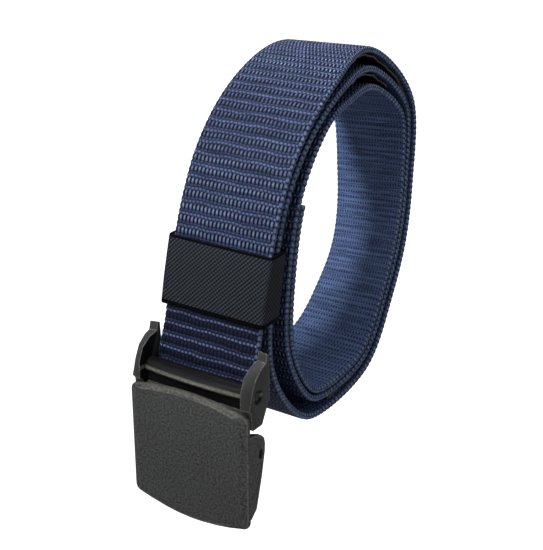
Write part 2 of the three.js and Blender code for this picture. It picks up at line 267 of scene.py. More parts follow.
# %% Stations of the coil
STRAP_WIDTH, STRAP_THICK = 38.0, 2.4
LAYER_PITCH, LINING_ROOM = 3.0, 1.3
LOOP_RADIUS = 60.0
BUCKLE_ANGLE, PIN_OUTSIDE_LOOP = math.radians(204.43), 22.93
STATIONS = (
    (210, 1.16, 0.0, 3.3, 4.3, 0),
    (180, 1.015, 0.55, 3.5, 4.5, 0),
    (150, 0.995, 1.12, 3.5, 4.5, 0),
    (120, 0.985, 1.05, 2.75, 0, 1),
    (90, 0.97, 1.75, 4.0, 0, 1),
    (60, 1.03, 1.75, 3.8, 0, 1),
    (30, 1.025, 1.3, 2.8, 0, 1),
    (0, 0.77, 1.0, 2.0, 0, 1),
    (330, 0.7, 1.0, 2.0, 0, 1),
    (300, 0.735, 1.0, 2.0, 0, 1),
    (270, 0.975, 1.05, 2.05, 0, 1),
    (240, 1.205, 1.75, 2.75, 0, 1),
)
LEAD_ROWS = ((0.3, 0.22), (0.455, 0.47), (0.7, 0.77))
FIRST_PLACE, LAST_PLACE, TIP_PLACE, POINTS_PER_STATION = 2, 38, 37.8, 5
TOP = next(row for row in STATIONS if row[0] == 90)
CENTRE_Z = -(TOP[1] * LOOP_RADIUS - TOP[3] * LAYER_PITCH - LINING_ROOM - STRAP_THICK)
PIN = np.array([0, CENTRE_Z]) + (LOOP_RADIUS + PIN_OUTSIDE_LOOP) * np.array(
    [math.cos(BUCKLE_ANGLE), math.sin(BUCKLE_ANGLE)]
)
print("coil centre at height", round(CENTRE_Z, 2), "mm, pin at", PIN)


# %% Smooth curves through points
def through(points, t, closed=False, power=0.25):
    """A Catmull-Rom curve through points, at a share t of them, as the CAD model draws it."""
    count = len(points)
    place = (count if closed else count - 1) * t
    whole = int(math.floor(place))
    share = place - whole
    if not closed and whole >= count - 1:
        whole, share = count - 2, 1.0
    if closed:
        p0, p1, p2, p3 = (points[(whole + k) % count] for k in (-1, 0, 1, 2))
    else:
        p1, p2 = points[whole], points[whole + 1]
        p0 = points[whole - 1] if whole > 0 else 2 * p1 - p2
        p3 = points[whole + 2] if whole + 2 < count else 2 * p2 - p1
    d0, d1, d2 = (float((b - a) @ (b - a)) ** power for a, b in ((p0, p1), (p1, p2), (p2, p3)))
    t1 = ((p1 - p0) / d0 - (p2 - p0) / (d0 + d1) + (p2 - p1) / d1) * d1
    t2 = ((p2 - p1) / d1 - (p3 - p1) / (d1 + d2) + (p3 - p2) / d2) * d1
    cubic = (p1, t1, -3 * p1 + 3 * p2 - 2 * t1 - t2, 2 * p1 - 2 * p2 + t1 + t2)
    return cubic[0] + share * (cubic[1] + share * (cubic[2] + share * cubic[3]))


# %% The outermost face, and how far each turn lies inside it
OUTER = [
    np.array([
        share * LOOP_RADIUS * math.cos(math.radians(angle)),
        CENTRE_Z + share * LOOP_RADIUS * math.sin(math.radians(angle)),
    ])
    for angle, share, *_ in STATIONS
]


def inside_coil(place, inset):
    """A point of the coil at a place along the stations, moved in from the outermost face."""
    count, step = len(STATIONS), 1e-4
    t = (place % count) / count
    point = through(OUTER, t, closed=True)
    behind, before = (through(OUTER, (t + side) % 1, closed=True) for side in (-step, step))
    ahead = before - behind
    y, z = ahead / np.linalg.norm(ahead)
    return point + inset * np.array([z, -y])


def turn_inset(place):
    """How far a turn lies inside the outermost face at a station."""
    row = STATIONS[place % len(STATIONS)]
    turn = place // len(STATIONS)
    return 0.0 if turn == 0 else row[1 + turn] * LAYER_PITCH + row[5] * LINING_ROOM


INSETS = [turn_inset(place) for place in range(FIRST_PLACE, LAST_PLACE + 1)]
print("deepest inset:", round(max(INSETS), 2), "mm")


def inset_at(place):
    """How far the strap lies inside the outermost face, smoothly between stations."""
    at = place - FIRST_PLACE
    whole = min(int(at), len(INSETS) - 1)
    share = at - whole
    last = len(INSETS) - 1
    p0, p1 = INSETS[max(whole - 1, 0)], INSETS[whole]
    p2, p3 = INSETS[min(whole + 1, last)], INSETS[min(whole + 2, last)]
    v0, v1 = (p2 - p0) / 2, (p3 - p1) / 2
    return (
        p1 + share * v0
        + share**2 * (3 * (p2 - p1) - 2 * v0 - v1)
        + share**3 * (2 * (p1 - p2) + v0 + v1)
    )


# %% The strap's route from the buckle to the free end
BARREL_RADIUS, SIDE_CLEARANCE, STRAP_PAST_PIN, PLATE_TOP = 2.9, 0.4, 9.0, 2.5
FINE_STEPS, ROUTE_POINTS = 12, 4000


def strap_route():
    """Points (y, z) from the strap's end in the buckle to its free end."""
    front = PIN[0] + BARREL_RADIUS + SIDE_CLEARANCE
    first = inside_coil(FIRST_PLACE, 0)
    points = [
        np.array([front, PIN[1] - STRAP_PAST_PIN]),
        np.array([front, PIN[1] - STRAP_PAST_PIN / 2]),
        np.array([front, PIN[1] + PLATE_TOP + STRAP_THICK / 2]),
    ]
    points += [PIN + (first - PIN) * np.array(row) for row in LEAD_ROWS]
    steps = round((TIP_PLACE - FIRST_PLACE) * POINTS_PER_STATION)
    for i in range(steps + 1):
        place = FIRST_PLACE + (TIP_PLACE - FIRST_PLACE) * i / steps
        points.append(inside_coil(place, inset_at(place)))
    return points


def measured(points, count):
    """Evenly spaced points along a curve, the inward direction at each, and its length."""
    fine = np.array([through(points, t) for t in np.linspace(0, 1, FINE_STEPS * len(points))])
    run = np.concatenate([[0], np.cumsum(np.linalg.norm(np.diff(fine, axis=0), axis=1))])
    even = np.linspace(0, run[-1], count)
    path = np.stack([np.interp(even, run, fine[:, k]) for k in (0, 1)], axis=1)
    ahead = np.gradient(path, axis=0)
    ahead /= np.linalg.norm(ahead, axis=1)[:, None]
    return path, np.stack([ahead[:, 1], -ahead[:, 0]], axis=1), run[-1]


ROUTE = measured(strap_route(), ROUTE_POINTS)
print("webbing:", round(ROUTE[2]), "mm long")

# %% [markdown]
# ## Winding
# A strap is easiest to make flat, as on a loom, and to wind afterwards. Each point of the flat
# strap has a distance along it, a distance across it and a depth. The first chooses a point of
# the route, the depth moves it inward, and the second carries it sideways. The coil in the
# photograph is also racked: towards the back the webbing turns and tilts a little, so the last
# step turns and lifts every point by its place.

# %% Winding a flat piece onto the route
BACK_TURN, TURN_BY_HEIGHT = math.radians(-20.7), 0.5
BACK_TILT, LIFT_BY_HEIGHT = math.radians(10.9), 0.6
TWIST_REACH = 0.55 * LOOP_RADIUS


def racked(x, y, z):
    """Turns and lifts points by their place, more towards the back."""
    share = np.clip((y + TWIST_REACH) / (2 * TWIST_REACH), 0, 1)
    share = share * share * (3 - 2 * share)
    lower = (CENTRE_Z - z) / LOOP_RADIUS
    turn = BACK_TURN * share * (1 + TURN_BY_HEIGHT * lower)
    tilt = BACK_TILT * share
    return np.stack([
        x * np.cos(turn) - (z - CENTRE_Z) * np.tan(tilt),
        y + x * np.sin(turn),
        z + x * np.sin(tilt) * (1 + LIFT_BY_HEIGHT * lower),
    ], axis=1)


# %% Moving a piece's points all at once
def coordinates(piece):
    """The places of a piece's points, as rows of three numbers."""
    flat = np.empty(len(piece.data.vertices) * 3)
    piece.data.vertices.foreach_get("co", flat)
    return flat.reshape(-1, 3)


def place_points(piece, points):
    """Puts a piece's points at new places."""
    piece.data.vertices.foreach_set("co", np.asarray(points, np.float32).ravel())
    piece.data.update()


def wind(piece, route):
    """Winds a flat piece, made in millimetres as (along, across, depth), onto a route."""
    along, across, depth = coordinates(piece).T
    path, inward, length = route
    steps = np.linspace(0, length, len(path))
    y, z = (np.interp(along, steps, path[:, k]) for k in (0, 1))
    ny, nz = (np.interp(along, steps, inward[:, k]) for k in (0, 1))
    place_points(piece, racked(across, y + ny * depth, z + nz * depth) * MM)


def lay_uv(piece, u, v, layer="weave"):
    """Writes a UV map of two numbers for each vertex."""
    corners = np.empty(len(piece.data.loops), np.int32)
    piece.data.loops.foreach_get("vertex_index", corners)
    uv = piece.data.uv_layers.new(name=layer)
    pairs = np.stack([u[corners], v[corners]], axis=1)
    uv.data.foreach_set("uv", pairs.astype(np.float32).ravel())


# %% [markdown]
# ## The webbing
# Nylon belt webbing has rows of long floats, with two rows of short ones between them, and a
# thick rounded selvedge where the weft turns back. One repeat of it is modelled as a short tube
# with the strap's section: a circle is set out on the section and extruded six times. Its rows
# rise and sink, and its edges bulge twice in a repeat. An Array modifier then makes the whole
# length, and the strap is wound. The single floats are too many for geometry, so the material
# draws them from a UV map in millimetres.

# %% One repeat of webbing
ROW_PITCH = 4.1
REPEATS = round(ROUTE[2] / ROW_PITCH)
REPEAT = ROUTE[2] / REPEATS
ROWS = 6
ROW_SINK = (0.2, 0.02, 0.0, 0.18, 0.06, 0.1)
BEAD = (0.28, 0.0, 0.0, 0.28, 0.0, 0.0)
FACE_POINTS, FLAT_INSET = 13, 1.0
EDGE_ROUND = ((0.45, 0.12), (0.1, 0.6), (0.0, 1.2))
FACE_HALF = STRAP_WIDTH / 2 - 0.7


def webbing_section():
    """Points (across, depth) round the strap, outer face first."""
    half = STRAP_WIDTH / 2
    flat = np.linspace(-half + FLAT_INSET, half - FLAT_INSET, FACE_POINTS)
    edge = [(half - inset, depth) for inset, depth in EDGE_ROUND]
    right = edge + [(x, STRAP_THICK - d) for x, d in reversed(edge[:2])]
    outer = [(x, 0.0) for x in flat]
    inner = [(x, STRAP_THICK) for x in flat[::-1]]
    left = [(-x, STRAP_THICK - d) for x, d in right]
    return outer + right + inner + left


section = webbing_section()
bpy.ops.mesh.primitive_circle_add(vertices=len(section), radius=1)
webbing = bpy.context.object
webbing.name = "webbing"
place_points(webbing, [(0, across, depth) for across, depth in section])
edit(webbing, "VERT")
bpy.ops.mesh.select_all(action="SELECT")
for _ in range(ROWS):
    bpy.ops.mesh.extrude_region_move(TRANSFORM_OT_translate={"value": (REPEAT / ROWS, 0, 0)})
done()
print("one repeat:", len(webbing.data.vertices), "points")

# %% Rows that rise and sink, and beads along the selvedge
points = coordinates(webbing)
row = np.rint(points[:, 0] / (REPEAT / ROWS)).astype(int) % ROWS
middle = STRAP_THICK / 2
on_face = np.abs(points[:, 1]) < FACE_HALF
sink = np.array(ROW_SINK)[row] * on_face
points[:, 2] += np.where(points[:, 2] < middle, sink, -sink)
points[:, 1] -= np.sign(points[:, 1]) * np.array(BEAD)[row] * ~on_face
place_points(webbing, points)
print("points on the faces:", np.count_nonzero(on_face), "of", len(on_face))

# %% Many repeats, closed at both ends
bpy.ops.object.modifier_add(type="ARRAY")
array = webbing.modifiers["Array"]
array.count = REPEATS
array.use_relative_offset = False
array.use_constant_offset = True
array.constant_offset_displace = (REPEAT, 0, 0)
array.use_merge_vertices = True
array.merge_threshold = 0.001
bpy.ops.object.modifier_apply(modifier="Array")
for end in (0.0, float(ROUTE[2])):
    edit(webbing, "EDGE")
    shape = bmesh.from_edit_mesh(webbing.data)
    for edge in shape.edges:
        edge.select_set(edge.is_boundary and abs(edge.verts[0].co.x - end) < 0.1)
    bpy.ops.mesh.edge_face_add()
    done()
print(REPEATS, "repeats of", round(REPEAT, 2), "mm")

# %% Wind it
along, across, depth = coordinates(webbing).T
girth = np.sign(across) * np.where(
    np.abs(across) < FACE_HALF,
    np.abs(across),
    STRAP_WIDTH / 2 + middle - np.abs(depth - middle),
)
lay_uv(webbing, along, girth)
on_inner_face = (depth > middle) & (np.abs(across) < FACE_HALF)
lay_uv(webbing, on_inner_face, depth, "side")
wind(webbing, ROUTE)
edit(webbing)
bpy.ops.mesh.select_all(action="SELECT")
bpy.ops.mesh.normals_make_consistent(inside=False)
bpy.ops.mesh.faces_shade_smooth()
done()
print("webbing:", len(webbing.data.polygons), "faces")

# %% [markdown]
# ## The weave
# On the outer face three kinds of float make the height: a long one, and two short ones that
# stand half a column apart. Their tops catch light, so they are drawn a paler blue, partly as a
# painted highlight, and the grooves between them are painted almost black as painted shade. The
# inner face is plainer, drawn paler than the yarn's own blue as painted light, with small
# hollows in even rows painted dark as painted shade, and each selvedge is two columns of beads.
# Between the buckle and the keeper the webbing is painted darker as painted shade: its long
# floats go dark and only a row of dots stays pale. Higher up, where it starts to bend over the
# top, the long floats are drawn a little less pale. Slow noise lets each row drift and fade
# along the strap, which keeps the rows from looking printed. All places across a row or a column
# are shares of its pitch, and the yarn's blues are named first.

# %% Blues of the yarn
# The groove blue is painted shade in the grooves, the hollows and the gaps between beads; the
# float blues carry a painted highlight over the yarn's own blue.
GROOVE_SHADE_BLUE = (0.003, 0.005, 0.016, 1)
ROW_BLUE = (0.055, 0.078, 0.19, 1)
FLOAT_VIOLET_WITH_HIGHLIGHT = (0.225, 0.255, 0.5, 1)
FLOAT_TEAL_WITH_HIGHLIGHT = (0.18, 0.28, 0.46, 1)
# The inner blue is the yarn's own, made paler as painted light for the light that falls into the
# coil.
INNER_BLUE_AND_PAINTED_LIGHT = (0.105, 0.165, 0.34, 1)
BEAD_BLUE = (0.22, 0.3, 0.52, 1)
print("blues from", GROOVE_SHADE_BLUE[:3], "to", FLOAT_VIOLET_WITH_HIGHLIGHT[:3])

# %% Rows and columns of the weave
COLUMN = 1.5
ROW_DRIFT, DRIFT_SCALE = 1.6, 0.11
weave = Finish("navy_webbing", roughness=0.6, specular=0.12)
uv, u, v = weave.uv("weave")
_, inside, depth_in = weave.uv("side")
inside = weave.sum("GREATER_THAN", inside, 0.5)
drift = weave.sum("SUBTRACT", weave.noise(uv, DRIFT_SCALE, 3.0), 0.5)
u_rows = weave.repeat(weave.sum("MULTIPLY_ADD", drift, ROW_DRIFT, u), REPEAT)
column = weave.repeat(v, COLUMN)
offset_column = weave.repeat(v, COLUMN, 0.5)
print("columns across the strap:", round(STRAP_WIDTH / COLUMN))

# %% Floats of the outer face
LONG_ROW, LONG_HALF, LONG_WIDTH = 0.25, 0.27, 0.3
SHORT_ROWS = ((0.63, 0.5), (0.87, 0.0))
SHORT_HALF, SHORT_WIDTH = 0.13, 0.5


def row_of(rows, centre, half, columns, width):
    """Floats side by side in one row."""
    return weave.sum("MULTIPLY", weave.dome(rows, centre, half), weave.dome(columns, 0.5, width))


long_float = row_of(u_rows, LONG_ROW, LONG_HALF, column, LONG_WIDTH)
dotted, plain_row = (
    row_of(u_rows, centre, SHORT_HALF, offset_column if shift else column, SHORT_WIDTH)
    for centre, shift in SHORT_ROWS
)
short_float = weave.sum("MAXIMUM", dotted, plain_row)
print("rows in one repeat:", 1 + len(SHORT_ROWS))

# %% Hollows of the inner face
HOLLOW_HALF, HOLLOW_WIDTH = 0.3, 0.33
SEAM_ROW, SEAM_HALF, SEAM_DEPTH = 0.02, 0.07, 0.6
hollow = row_of(weave.repeat(u, REPEAT / 2), 0.5, HOLLOW_HALF, column, HOLLOW_WIDTH)
seam = weave.sum("MULTIPLY", weave.dome(u_rows, SEAM_ROW, SEAM_HALF), SEAM_DEPTH)
lattice = weave.sum("SUBTRACT", 1.0, weave.sum("MAXIMUM", hollow, seam), clamp=True)
print("hollows every", round(REPEAT / 2, 2), "mm")

# %% Beads of the selvedge
BEAD_SHIFTS, BEAD_DEPTHS = (-0.15, 0.35), (middle - 0.6, middle + 0.6)
BEAD_HALF, BEAD_START = 0.75, STRAP_WIDTH / 2 - 0.6
bead = weave.sum("MAXIMUM", *(
    weave.sum(
        "MULTIPLY",
        weave.dome(weave.repeat(u, REPEAT / 2, shift), 0.5, 0.5),
        weave.dome(depth_in, bead_depth, BEAD_HALF),
    )
    for shift, bead_depth in zip(BEAD_SHIFTS, BEAD_DEPTHS)
))
on_edge = weave.sum("GREATER_THAN", weave.sum("ABSOLUTE", v), BEAD_START)
print("bead columns at depths", *BEAD_DEPTHS, "mm")

# %% Painted shade below the keeper, and where the strap bends
CURVED_AT, CURVED_HALF, CURVED_DIM = 97.0, 26.0, 0.5
keeper_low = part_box("elastic_keeper")[0].z / MM
# From the buckle to the keeper's lower rim the weave is painted darker, as painted shade.
below_keeper_length = ROUTE[2] * np.argmax(ROUTE[0][:, 1] > keeper_low) / len(ROUTE[0])
painted_shade = weave.sum("LESS_THAN", u, float(below_keeper_length))
# Near the top bend the long floats are drawn less pale.
top_dimming = weave.sum("MULTIPLY", weave.dome(u, CURVED_AT, CURVED_HALF), CURVED_DIM)
top_brightness = weave.sum("SUBTRACT", 1.0, top_dimming)
print("pulled lying over the first", round(below_keeper_length, 1), "mm")

# %% Noise in the yarn
STREAK_SCALE = (0.7, 0.06, 1)
YARN_SCALE, HUE_SCALE = 1.2, 0.35
stretch = weave.tree.nodes.new("ShaderNodeMapping")
stretch.inputs["Scale"].default_value = STREAK_SCALE
weave.feed(stretch.inputs["Vector"], uv)
patchy = weave.noise(stretch.outputs[0], 1.0, 3.0)
yarn = weave.noise(uv, YARN_SCALE, 2.0)
streaks = weave.sum("ADD", weave.sharpened(patchy, 2.2), weave.sharpened(yarn, 1.6))
tone = weave.sum("MULTIPLY", streaks, 0.8)
hue = weave.sharpened(weave.noise(uv, HUE_SCALE, 2.0), 3.0)
print("streaks about", round(1 / STREAK_SCALE[1]), "mm wide")

# %% Colours of the outer face
DOTS_OUT_OF_SHADE, DOTS_IN_SHADE = 0.45, 0.85
SHORT_IN_SHADE, LONG_IN_SHADE, LONG_TONE = 0.65, 0.06, 1.1
# Inside the painted shade the short and long floats go dark and the dots stay pale.
short_tone = weave.sum("MULTIPLY", tone, weave.between(painted_shade, 1.0, SHORT_IN_SHADE))
short_share = weave.sum("MULTIPLY", short_float, short_tone, clamp=True)
long_pale = weave.sum("MULTIPLY", long_float, weave.between(painted_shade, top_brightness, LONG_IN_SHADE))
fine_dots = weave.sum("MULTIPLY", weave.sum("POWER", dotted, 2.0), DOTS_IN_SHADE)
dots = weave.between(painted_shade, weave.sum("MULTIPLY", dotted, DOTS_OUT_OF_SHADE), fine_dots)
pale = weave.sum("MAXIMUM", long_pale, dots)
long_share = weave.sum("MULTIPLY", pale, weave.sum("MULTIPLY", tone, LONG_TONE), clamp=True)
outer_face = weave.blend(
    long_share,
    weave.blend(short_share, GROOVE_SHADE_BLUE, ROW_BLUE),
    weave.blend(hue, FLOAT_VIOLET_WITH_HIGHLIGHT, FLOAT_TEAL_WITH_HIGHLIGHT),
)

# %% Colours of the inner face and the selvedge
lattice_share = weave.sum("MULTIPLY", lattice, tone, clamp=True)
inner_face = weave.blend(lattice_share, GROOVE_SHADE_BLUE, INNER_BLUE_AND_PAINTED_LIGHT)
bead_share = weave.sum("MULTIPLY", bead, tone, clamp=True)
faces = weave.blend(inside, outer_face, inner_face)
weave.feed(
    weave.shader.inputs["Base Color"],
    weave.blend(on_edge, faces, weave.blend(bead_share, GROOVE_SHADE_BLUE, BEAD_BLUE)),
)

# %% Height of the weave, and the webbing's place in the frame
SHORT_HEIGHT, WEAVE_HEIGHT = 0.75, 0.4 * MM
outer_height = weave.sum(
    "MAXIMUM", long_float, weave.sum("MULTIPLY", short_float, SHORT_HEIGHT)
)
face_height = weave.between(inside, outer_height, lattice)
weave.bump(weave.between(on_edge, face_height, bead), WEAVE_HEIGHT, 0.9)
dress(webbing, "belt", "webbing", weave)
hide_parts("webbing_strap")
print("weave:", len(weave.tree.nodes), "nodes")

# %% [markdown]
# ## The pocket lining
# The money pocket is a thin dark cloth behind the webbing, seen only as a wavy pale hem in the
# gaps between the turns. It is a long grid, laid under the outermost turn, that ripples towards
# its edges and has a thin wall. A shorter piece of it shows under the second turn at the top.

# %% Lining
LINING_WIDTH, LINING_THICK, LINING_GAP = 34.0, 0.6, 0.5
LINING_PLACES = {"lining": (2.6, 10.6), "inner_lining": (14.4, 17.4)}
SIDE_WAVE, SIDE_WAVE_RATE = 0.4, 0.31
RIPPLES = ((0.18, 0.7, 0), (0.12, 1.7, 1))
LINING_LIFT, ACROSS_CELLS = 0.1, 12
LINING_STATIONS, LINING_POINTS = 41, 2000


def lining_route(first, last):
    """The way just inside the webbing, between two places on the coil."""
    places = np.linspace(first, last, LINING_STATIONS)
    points = [inside_coil(p, inset_at(p) + STRAP_THICK + LINING_GAP) for p in places]
    return measured(points, LINING_POINTS)


def lay_lining(name, route):
    """A rippled band of cloth wound onto a route."""
    length = route[2]
    bpy.ops.mesh.primitive_grid_add(
        x_subdivisions=round(length), y_subdivisions=ACROSS_CELLS, size=1
    )
    piece = bpy.context.object
    piece.name = name
    points = coordinates(piece)
    points[:, 0] = (points[:, 0] + 0.5) * length
    points[:, 1] *= LINING_WIDTH
    along = points[:, 0]
    near_edge = np.abs(points[:, 1] / LINING_WIDTH * 2) ** 3
    ripple = sum(size * np.sin(along * rate + start) for size, rate, start in RIPPLES)
    points[:, 2] = LINING_LIFT + near_edge * ripple
    points[:, 1] += SIDE_WAVE * np.sin(along * SIDE_WAVE_RATE)
    place_points(piece, points)
    bpy.ops.object.modifier_add(type="SOLIDIFY")
    piece.modifiers["Solidify"].thickness = LINING_THICK
    piece.modifiers["Solidify"].offset = 1
    bpy.ops.object.modifier_apply(modifier="Solidify")
    along, across, _ = coordinates(piece).T
    lay_uv(piece, along, across - SIDE_WAVE * np.sin(along * SIDE_WAVE_RATE))
    wind(piece, route)
    edit(piece)
    bpy.ops.mesh.select_all(action="SELECT")
    bpy.ops.mesh.normals_make_consistent(inside=False)
    bpy.ops.mesh.faces_shade_smooth()
    done()
    return piece


# %% Lining finish
HEM, YARN_PITCH, MOTTLE_SCALE = 0.35, 0.8, 0.4
cloth = Finish("lining_cloth", roughness=0.85, specular=0.15)
uv, u, v = cloth.uv("weave")
warp, weft = (cloth.dome(cloth.repeat(way, YARN_PITCH), 0.5, 0.5) for way in (u, v))
plain = cloth.sum("ABSOLUTE", cloth.sum("SUBTRACT", warp, weft))
mottle = cloth.noise(uv, MOTTLE_SCALE, 2.0)
ground = cloth.blend(
    cloth.sum("MULTIPLY", plain, mottle), (0.006, 0.006, 0.006, 1), (0.05, 0.043, 0.034, 1)
)
hem = cloth.blend(mottle, (0.06, 0.055, 0.042, 1), (0.2, 0.185, 0.15, 1))
at_hem = cloth.sum("GREATER_THAN", cloth.sum("ABSOLUTE", v), LINING_WIDTH / 2 - HEM)
cloth.feed(cloth.shader.inputs["Base Color"], cloth.blend(at_hem, ground, hem))
cloth.bump(plain, 0.1 * MM, 0.6)

# %% Both pieces of lining
for name, ends in LINING_PLACES.items():
    route = lining_route(*ends)
    lining = lay_lining(name, route)
    dress(lining, "belt", "lining", cloth)
    print(name + ":", round(route[2]), "mm long")
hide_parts("pocket_lining")

# %% [markdown]
# ## The elastic keeper
# A keeper is a short tube of black elastic with diagonal ribs. It starts as a cube without its
# top and bottom, is cut into bands, and each band is moved to where the webbing is at that
# height. The upright corners are bevelled round, the wall gets its thickness, and the rims are
# softened.

# %% Where the keeper lies on the webbing
KEEPER_WALL, KEEPER_GAP, KEEPER_CORNER = 1.1, 0.3, 1.4
LONGER_BELOW, LONGER_ABOVE, SECOND_LAYER_SLANT = 1.2, 0.8, 1.08
low, high = (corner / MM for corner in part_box("elastic_keeper"))
low.z, high.z = low.z - LONGER_BELOW, high.z + LONGER_ABOVE


def face_at(turn, height):
    """Where the webbing's outer face is at a height on the coil's front."""
    path = ROUTE[0]
    under = (path[:-1, 1] <= height) & (path[1:, 1] > height) & (path[:-1, 0] < 0)
    i = np.nonzero(under)[0][turn]
    share = (height - path[i, 1]) / (path[i + 1, 1] - path[i, 1])
    return path[i, 0] + share * (path[i + 1, 0] - path[i, 0])


def keeper_front(height):
    """Where the keeper's own front is at a height."""
    return face_at(0, height) - KEEPER_GAP - KEEPER_WALL


print("keeper from", round(low.z, 1), "to", round(high.z, 1), "mm")

# %% Keeper cut into bands
BANDS = 8
bpy.ops.mesh.primitive_cube_add(size=1, location=(0, 0, 0))
keeper = bpy.context.object
keeper.name = "keeper"
points = coordinates(keeper)
half_x = STRAP_WIDTH / 2 + KEEPER_GAP + KEEPER_WALL
points *= (2 * half_x, 1, high.z - low.z)
points[:, 2] += (low.z + high.z) / 2
place_points(keeper, points)
edit(keeper)
shape = bmesh.from_edit_mesh(keeper.data)
for face in shape.faces:
    face.select_set(abs(face.normal.z) > 0.9)
bpy.ops.mesh.delete(type="ONLY_FACE")
for band in range(1, BANDS):
    bpy.ops.mesh.select_all(action="SELECT")
    level = low.z + (high.z - low.z) * band / BANDS
    bpy.ops.mesh.bisect(plane_co=(0, 0, level), plane_no=(0, 0, 1))
done()

# %% Bands moved to the webbing
points = coordinates(keeper)
for point in points:
    back = face_at(1, point[2]) + STRAP_THICK * SECOND_LAYER_SLANT + KEEPER_GAP + KEEPER_WALL
    point[1] = keeper_front(point[2]) if point[1] < 0 else back
place_points(keeper, points)
print("keeper bands:", BANDS)

# %% Keeper corners and wall
edit(keeper, "EDGE")
shape = bmesh.from_edit_mesh(keeper.data)
for edge in shape.edges:
    a, b = (vert.co for vert in edge.verts)
    edge.select_set(abs(a.x - b.x) < 0.01 and abs(a.z - b.z) > 0.5)
bpy.ops.mesh.bevel(offset=KEEPER_CORNER, segments=4, affect="EDGES")
done()
bpy.ops.object.modifier_add(type="SOLIDIFY")
keeper.modifiers["Solidify"].thickness = KEEPER_WALL
keeper.modifiers["Solidify"].offset = -1
bpy.ops.object.modifier_apply(modifier="Solidify")
print("keeper wall", KEEPER_WALL, "mm,", len(keeper.data.polygons), "faces")

# %% Keeper rims
RIM_ROUND = 0.35
edit(keeper)
bpy.ops.mesh.select_all(action="SELECT")
bpy.ops.mesh.normals_make_consistent(inside=False)
bpy.ops.mesh.select_all(action="DESELECT")
bpy.ops.mesh.select_mode(type="EDGE")
shape = bmesh.from_edit_mesh(keeper.data)
for edge in shape.edges:
    a, b = (vert.co for vert in edge.verts)
    at_rim = min(abs(a.z - low.z), abs(a.z - high.z)) < 0.01
    edge.select_set(at_rim and abs(a.z - b.z) < 0.01 and edge.calc_face_angle(0) > 1)
bpy.ops.mesh.bevel(offset=RIM_ROUND, segments=3, affect="EDGES")
bpy.ops.mesh.select_all(action="SELECT")
bpy.ops.mesh.faces_shade_smooth()
done()
print("keeper with rims:", len(keeper.data.polygons), "faces")

# %% Keeper UV map, unrolled from its front
points = coordinates(keeper)
front_y = np.array([keeper_front(min(max(z, low.z), high.z)) for z in points[:, 2]])
side_run = np.clip(points[:, 1] - front_y, 0, None)
girth = np.sign(points[:, 0]) * (np.abs(points[:, 0]) + side_run)
lay_uv(keeper, girth, points[:, 2] - low.z)
place_points(keeper, points * MM)
print("keeper map reaches", round(float(np.abs(girth).max()), 1), "mm each way")

# %% [markdown]
# ## Ribbed elastic
# The ribs climb at 45 degrees and are themselves made of small stitches. A plain band is left
# along the lower rim and a finer one along the upper, where the elastic is folded in.

# %% Elastic finish
RIB, STITCH, DIAGONAL = 1.05, 1.0, 0.7071
LOWER_HEM, UPPER_HEM = 1.5, 0.8
elastic = Finish("ribbed_elastic", roughness=0.75, specular=0.05)
uv, u, v = elastic.uv("weave")
rise = elastic.sum("MULTIPLY", elastic.sum("SUBTRACT", v, u), DIAGONAL)
cross = elastic.sum("MULTIPLY", elastic.sum("ADD", v, u), DIAGONAL)
rib = elastic.dome(elastic.repeat(rise, RIB), 0.5, 0.5)
stitch = elastic.dome(elastic.repeat(cross, STITCH), 0.5, 0.75)
field = elastic.sum(
    "MULTIPLY",
    elastic.sum("GREATER_THAN", v, LOWER_HEM),
    elastic.sum("LESS_THAN", v, high.z - low.z - UPPER_HEM),
)
height = elastic.sum("MULTIPLY", elastic.sum("MULTIPLY", rib, stitch), field)
print("ribs", RIB, "mm apart")

# %% Elastic colour and height
FLUFF_SCALE, FLUFF_HEIGHT, RIB_HEIGHT = 2.5, 0.25, 0.3 * MM
fluff = elastic.noise(uv, FLUFF_SCALE, 3.0)
crests = elastic.sum("POWER", height, 1.5)
elastic.feed(
    elastic.shader.inputs["Base Color"],
    elastic.blend(
        elastic.sum("MULTIPLY", crests, elastic.sum("ADD", 0.5, fluff)),
        (0.002, 0.0025, 0.0035, 1),
        (0.062, 0.071, 0.088, 1),
    ),
)
elastic.bump(
    elastic.sum("ADD", height, elastic.sum("MULTIPLY", fluff, FLUFF_HEIGHT)), RIB_HEIGHT, 1.0
)
dress(keeper, "belt", "elastic", elastic)
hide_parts("elastic_keeper")

# %% [markdown]
# ## The buckle's plastic
# The lid and the frame are moulded in charcoal plastic with a fine grain. Their CAD shapes are
# right, but a moulding has no knife edges. Each shape is copied, its loose triangles are merged
# and the flat ones dissolved, and its edges are bevelled. The bevels take a second, paler
# finish, because edges are where the grain is rubbed bright. One function makes all the grained
# finishes from a dark and a pale grey, and the cam that presses on the strap has its own.

# %% Plastic with a grain
GRAIN_SCALE, PATCH_SCALE, PATCH_SHARE = 1300, 60, 0.15


def plastic(name, base, pale, contrast, grain, roughness):
    """Plastic between two greys, with a grain so many metres high."""
    finish = Finish(name, roughness=roughness, specular=0.3)
    place = finish.place()
    coarse = finish.noise(place, GRAIN_SCALE, 3.0)
    patch = finish.noise(place, PATCH_SCALE, 3.0)
    speck = finish.between(PATCH_SHARE, finish.sharpened(coarse, contrast), patch)
    finish.feed(finish.shader.inputs["Base Color"], finish.blend(speck, base, pale))
    finish.bump(coarse, grain)
    return finish


# %% Plastic of the cam
CREST_RISE, CREST_HALF = 0.1, 0.9


